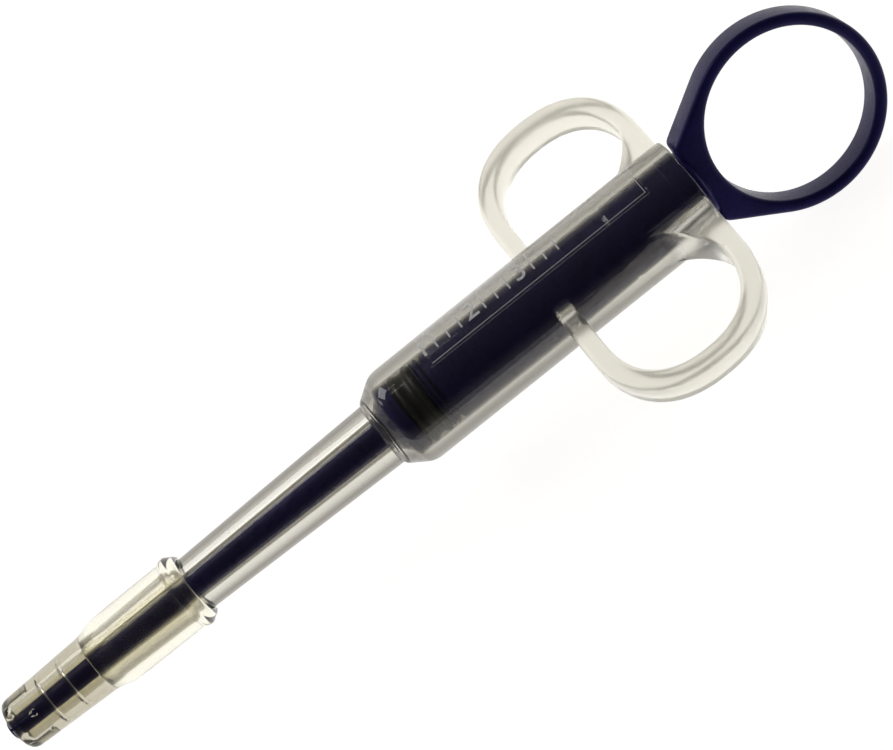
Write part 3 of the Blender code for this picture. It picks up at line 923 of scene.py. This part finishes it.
def make_ring(shape, finish):
    """The thumb ring: a rounded section between its round hole and its outline, then turned.

    At bearing b the section runs from the hole's radius to ring_outline(b), and +/- half the
    width across; the plug for the plunger tube is a turned solid joined to it.
    """
    count = 288
    bearing = np.linspace(0, 2 * math.pi, count, endpoint=False)
    corner, shift = block_section(shape.ring_edge, 6)
    outer = ring_outline(bearing)[:, None]
    radius = RING_HOLE_RADIUS + (outer - RING_HOLE_RADIUS) * corner[None, :, 0] + shift[None, :, 0]
    across = RING_WIDTH * (corner[:, 1] - 0.5) + shift[:, 1] + np.zeros_like(radius)
    along = RING_CENTRE + radius * np.cos(bearing)[:, None]
    side = radius * np.sin(bearing)[:, None]
    y = side * math.cos(RING_TURN) - across * math.sin(RING_TURN)
    z = side * math.sin(RING_TURN) + across * math.cos(RING_TURN)
    points = np.stack([along, y, z], -1)
    made = solid("thumb_loop", points, [grid_faces(count, points.shape[1], True, True)])
    shoulder, neck = COLLAR_RADIUS - 0.0004, PLUNGER_BORE - 0.0002
    plug_outline = np.array(
        [
            (RING_BASE + 0.0012, 0.0, 0.0),
            (RING_BASE + 0.0012, RING_WIDTH / 2 - 0.0004, 0.0004),
            (RING_BASE + 0.0003, shoulder, 0.0003),
            (PLUNGER_REAR + 0.0001, shoulder, 0.0002),
            (PLUNGER_REAR + 0.0001, neck, 0.0002),
            (PLUG_FRONT, neck, 0.0005),
            (PLUG_FRONT, 0.0, 0.0),
        ]
    )
    plug = turned("plug", eased(plug_outline[:, :2], plug_outline[:, 2]), 96)
    combine(made, plug, "UNION")
    paint(made, navy_material(finish))
    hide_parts("thumb_ring")
    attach(made, "plunger")


def make_seal(shape, finish):
    """The rubber ring: a closed outline with a lip at each end and a waist between, turned."""
    front, rear = SEAL_FRONT + 0.0002, SEAL_REAR - 0.0002
    lip = (rear - front) / 4
    waist = SEAL_WAIST_RADIUS
    outline = np.array(
        [
            (rear, waist, 0.0002),
            (rear - lip / 3, shape.seal_radius, 0.0003),
            (rear - lip, shape.seal_radius, 0.0003),
            (rear - lip * 1.5, waist, 0.0004),
            (front + lip * 1.5, waist, 0.0004),
            (front + lip, shape.seal_radius, 0.0003),
            (front + lip / 3, shape.seal_radius, 0.0003),
            (front, waist, 0.0002),
            (front, GROOVE_RADIUS + 0.0001, 0.0001),
            (rear, GROOVE_RADIUS + 0.0001, 0.0001),
        ]
    )
    made = turned("seal_rubber", eased(outline[:, :2], outline[:, 2]), shape.segments, tube=True)
    paint(made, rubber_material(finish))
    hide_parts("piston_seal")
    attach(made, "seal")


def make_tip(shape, finish):
    """The soft sleeve: a closed outline turned about the axis, then cut by two crossed slits.

    Its bore follows the nozzle's taper, radius = front + slope (station - nozzle front), a small
    gap off it; the pocket ahead of the nozzle has two low ridges.
    """
    slope = (NOZZLE_REAR_RADIUS - NOZZLE_FRONT_RADIUS) / (NOZZLE_REAR - NOZZLE_FRONT)
    seat = NOZZLE_FRONT - shape.tip_gap
    front_bore = NOZZLE_FRONT_RADIUS + shape.tip_gap
    rear_bore = NOZZLE_FRONT_RADIUS + slope * (TIP_REAR - NOZZLE_FRONT) + shape.tip_gap
    pocket = TIP_POCKET_RADIUS
    ridges = [
        row
        for middle in TIP_RIDGES
        for row in (
            (middle - TIP_RIDGE_HALF, pocket, 0.0001),
            (middle, TIP_RIDGE_RADIUS, 0.0002),
            (middle + TIP_RIDGE_HALF, pocket, 0.0001),
        )
    ]
    outline = np.array(
        [
            (TIP_REAR, rear_bore + 0.0007, 0.0004),
            (TIP_BEAD_REAR + 0.0004, 0.00575, 0.0004),
            (TIP_BEAD_REAR, TIP_BEAD_RADIUS, 0.0003),
            (TIP_BEAD_FRONT, TIP_BEAD_RADIUS, 0.0003),
            (TIP_BEAD_FRONT - 0.0005, 0.00572, 0.0003),
            (TIP_SLEEVE_FRONT, TIP_SLEEVE_RADIUS, 0.0008),
            (TIP_SLEEVE_START, TIP_NECK_RADIUS, 0.0010),
            (TIP_FRONT, TIP_FRONT_RADIUS, 0.0014),
            (TIP_FRONT, TIP_MOUTH_RADIUS, 0.0003),
            (TIP_FRONT + 0.0014, pocket, 0.0004),
            *ridges,
            (seat, pocket, 0.0003),
            (seat, front_bore, 0.0002),
            (TIP_REAR, rear_bore, 0.0002),
        ]
    )
    made = turned("soft_sleeve", eased(outline[:, :2], outline[:, 2]), shape.segments, tube=True)
    for turn in (SLIT_TURN, SLIT_TURN + math.pi / 2):
        combine(made, slit_cutter(turn), "DIFFERENCE")
    # The soft tip's rims get a painted shade, darker as they turn away from the view
    material = clear_material(
        "soft_clear_vinyl",
        finish.vinyl_tint,
        finish.vinyl_rim,
        1.44,
        0.06,
        paler=(*SLEEVE_TINT_SPAN, finish.vinyl_sleeve),
    )
    paint(made, material, see_through=True)
    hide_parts("soft_tip")
    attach(made, "tip")


def slit_cutter(turn):
    """A keyhole outline across the mouth: a straight slot that ends in a round hole.

    The outline (station, offset) is carried straight across the tip and turned about its axis.
    """
    half, hole, reach = SLIT_HALF_WIDTH, SLIT_HOLE_RADIUS, SLIT_REACH
    begin = math.asin(half / hole)
    bend = np.linspace(math.pi - begin, begin - math.pi, 28)
    round_end = np.stack([SLIT_REAR + hole * np.cos(bend), hole * np.sin(bend)], -1)
    outline = np.vstack([[(-0.002, half)], round_end, [(-0.002, -half)]])
    count = len(outline)
    height = np.array([-reach, reach])[:, None]
    y = outline[None, :, 1] * math.cos(turn) - height * math.sin(turn)
    z = outline[None, :, 1] * math.sin(turn) + height * math.cos(turn)
    points = np.stack([outline[None, :, 0] + 0 * height, y, z], -1).reshape(-1, 3)
    middle = SLIT_REAR - 0.001
    ends = np.array(
        [
            (middle, reach * math.sin(turn), -reach * math.cos(turn)),
            (middle, -reach * math.sin(turn), reach * math.cos(turn)),
        ]
    )
    first = np.arange(count)
    groups = [
        grid_faces(2, count, False, True),
        fan_faces(first, 2 * count),
        fan_faces(first + count, 2 * count + 1)[:, ::-1],
    ]
    return solid("slit", np.vstack([points, ends]), groups)


# Stage


def view_axes(azimuth, elevation, roll):
    """The camera's right, up and back directions after a roll about the view."""
    outward, rise = math.cos(elevation), math.sin(elevation)
    back = Vector((math.sin(azimuth) * outward, -math.cos(azimuth) * outward, rise))
    level = (-back).cross(Vector((0, 0, 1))).normalized()
    upright = level.cross(-back)
    right = level * math.cos(roll) - upright * math.sin(roll)
    up = level * math.sin(roll) + upright * math.cos(roll)
    return right, up, back


def make_camera(studio):
    """The camera looks at a point just off the axis, moved a little across its own view."""
    right, up, back = view_axes(studio.azimuth, studio.elevation, studio.roll)
    aim = Vector(CAMERA_AIM) + CAMERA_SLIP[0] * right + CAMERA_SLIP[1] * up
    data = bpy.data.cameras.new("camera")
    data.lens = studio.lens
    data.sensor_width = 36
    data.clip_start = 0.01
    data.clip_end = 20
    made = bpy.data.objects.new("camera", data)
    bpy.context.scene.collection.objects.link(made)
    turn = Matrix((right, up, back)).transposed().to_4x4()
    made.matrix_world = Matrix.Translation(aim + back * studio.distance) @ turn
    bpy.context.scene.camera = made


def make_floor():
    """A wide flat sheet just under the lowest piece."""
    low = min(corner[2] for corner in CAD_BOX) - 0.0001
    across = np.linspace(-FLOOR_HALF, FLOOR_HALF, 3)
    x, y = np.meshgrid(across, across, indexing="ij")
    points = np.stack([x, y, np.full_like(x, low)], -1).reshape(-1, 3)
    mesh = bpy.data.meshes.new("floor")
    mesh.from_pydata(points.tolist(), [], grid_faces(3, 3, False, False)[:, ::-1].tolist())
    made = bpy.data.objects.new("floor", mesh)
    bpy.context.scene.collection.objects.link(made)
    if mesh.polygons[0].normal.z < 0:
        mesh.flip_normals()
    paint(made, floor_material())


def make_surround(studio):
    """A pale wall of light round the table, dark overhead and dimmer on the near side.

    Its strength is sky x (1 falling to a small share as the direction rises) x (a share that
    grows from the near side to the far side).
    """
    world = bpy.data.worlds.new("pale_surround")
    bpy.context.scene.world = world
    world.use_nodes = True
    nodes, links = world.node_tree.nodes, world.node_tree.links
    sky = nodes["Background"]
    sky.inputs["Color"].default_value = (1.0, 0.985, 0.955, 1)
    where = nodes.new("ShaderNodeTexCoord")
    split = nodes.new("ShaderNodeSeparateXYZ")
    links.new(where.outputs["Generated"], split.inputs["Vector"])
    rise = nodes.new("ShaderNodeMapRange")
    rise.interpolation_type = "SMOOTHSTEP"
    rise.inputs["From Min"].default_value = 0.05
    rise.inputs["From Max"].default_value = 0.55
    rise.inputs["To Min"].default_value = studio.sky
    rise.inputs["To Max"].default_value = studio.sky * OVERHEAD_SHARE
    links.new(split.outputs["Z"], rise.inputs["Value"])
    side = nodes.new("ShaderNodeMapRange")
    side.inputs["From Min"].default_value = -1
    side.inputs["From Max"].default_value = 1
    side.inputs["To Min"].default_value = DIM_SIDE_SHARE
    side.inputs["To Max"].default_value = 1.0
    links.new(split.outputs["Y"], side.inputs["Value"])
    total = nodes.new("ShaderNodeMath")
    total.operation = "MULTIPLY"
    links.new(rise.outputs["Result"], total.inputs[0])
    links.new(side.outputs["Result"], total.inputs[1])
    links.new(total.outputs["Value"], sky.inputs["Strength"])


def make_light(name, place, size, power):
    """A square soft light that faces the middle of the syringe."""
    data = bpy.data.lights.new(name, "AREA")
    data.size = size
    data.energy = power
    made = bpy.data.objects.new(name, data)
    bpy.context.scene.collection.objects.link(made)
    direction = Vector((0.08, 0, 0)) - Vector(place)
    made.location = place
    made.rotation_euler = direction.to_track_quat("-Z", "Y").to_euler()


class SYRINGE_OT_barrel(Operator):
    """Make the clear barrel with its two finger loops."""

    bl_idname = "syringe.barrel"
    bl_label = "Barrel"

    def execute(self, context):
        make_barrel(context.scene.syringe_shape, context.scene.syringe_finish)
        return {"FINISHED"}


class SYRINGE_OT_label(Operator):
    """Make the label film and its printed graduations."""

    bl_idname = "syringe.label"
    bl_label = "Label and graduations"

    def execute(self, context):
        make_label()
        make_print(context.scene.syringe_shape, context.scene.syringe_finish)
        return {"FINISHED"}


class SYRINGE_OT_plunger(Operator):
    """Make the plunger tube and its push rod."""

    bl_idname = "syringe.plunger"
    bl_label = "Plunger and rod"

    def execute(self, context):
        make_plunger(context.scene.syringe_shape, context.scene.syringe_finish)
        return {"FINISHED"}


class SYRINGE_OT_ring(Operator):
    """Make the thumb ring with its plug."""

    bl_idname = "syringe.ring"
    bl_label = "Thumb ring"

    def execute(self, context):
        make_ring(context.scene.syringe_shape, context.scene.syringe_finish)
        return {"FINISHED"}


class SYRINGE_OT_seal(Operator):
    """Make the two-lipped rubber seal."""

    bl_idname = "syringe.seal"
    bl_label = "Seal"

    def execute(self, context):
        make_seal(context.scene.syringe_shape, context.scene.syringe_finish)
        return {"FINISHED"}


class SYRINGE_OT_tip(Operator):
    """Make the soft slit tip."""

    bl_idname = "syringe.tip"
    bl_label = "Soft tip"

    def execute(self, context):
        make_tip(context.scene.syringe_shape, context.scene.syringe_finish)
        return {"FINISHED"}


class SYRINGE_OT_stage(Operator):
    """Make the floor, the light and the camera."""

    bl_idname = "syringe.stage"
    bl_label = "Stage"

    def execute(self, context):
        studio = context.scene.syringe_studio
        make_floor()
        make_surround(studio)
        make_light("key_light", KEY_LIGHT_PLACE, KEY_LIGHT_SIZE, studio.key_power)
        make_camera(studio)
        context.scene.view_settings.view_transform = "Standard"
        return {"FINISHED"}


class SYRINGE_PT_panel(Panel):
    """Lists the sizes, finishes and steps."""

    bl_idname = "SYRINGE_PT_panel"
    bl_label = "Ring Syringe"
    bl_space_type = "VIEW_3D"
    bl_region_type = "UI"
    bl_category = "Syringe"

    def draw(self, context):
        scene = context.scene
        for group in (scene.syringe_shape, scene.syringe_finish, scene.syringe_studio):
            box = self.layout.box()
            for name in type(group).__annotations__:
                box.prop(group, name)
        for step in STEPS:
            self.layout.operator(step.bl_idname)


GROUPS = (SyringeShape, SyringeFinish, SyringeStudio)
STEPS = (
    SYRINGE_OT_stage,
    SYRINGE_OT_barrel,
    SYRINGE_OT_label,
    SYRINGE_OT_plunger,
    SYRINGE_OT_ring,
    SYRINGE_OT_seal,
    SYRINGE_OT_tip,
)


def register():
    for each in (*GROUPS, *STEPS, SYRINGE_PT_panel):
        bpy.utils.register_class(each)
    bpy.types.Scene.syringe_shape = PointerProperty(type=SyringeShape)
    bpy.types.Scene.syringe_finish = PointerProperty(type=SyringeFinish)
    bpy.types.Scene.syringe_studio = PointerProperty(type=SyringeStudio)


def unregister():
    del bpy.types.Scene.syringe_studio
    del bpy.types.Scene.syringe_finish
    del bpy.types.Scene.syringe_shape
    for each in reversed((*GROUPS, *STEPS, SYRINGE_PT_panel)):
        bpy.utils.unregister_class(each)


def main():
    """Register the panel and its steps, then make everything in order."""
    register()
    for step in STEPS:
        group, name = step.bl_idname.split(".")
        getattr(getattr(bpy.ops, group), name)()


if __name__ == "__main__":
    main()
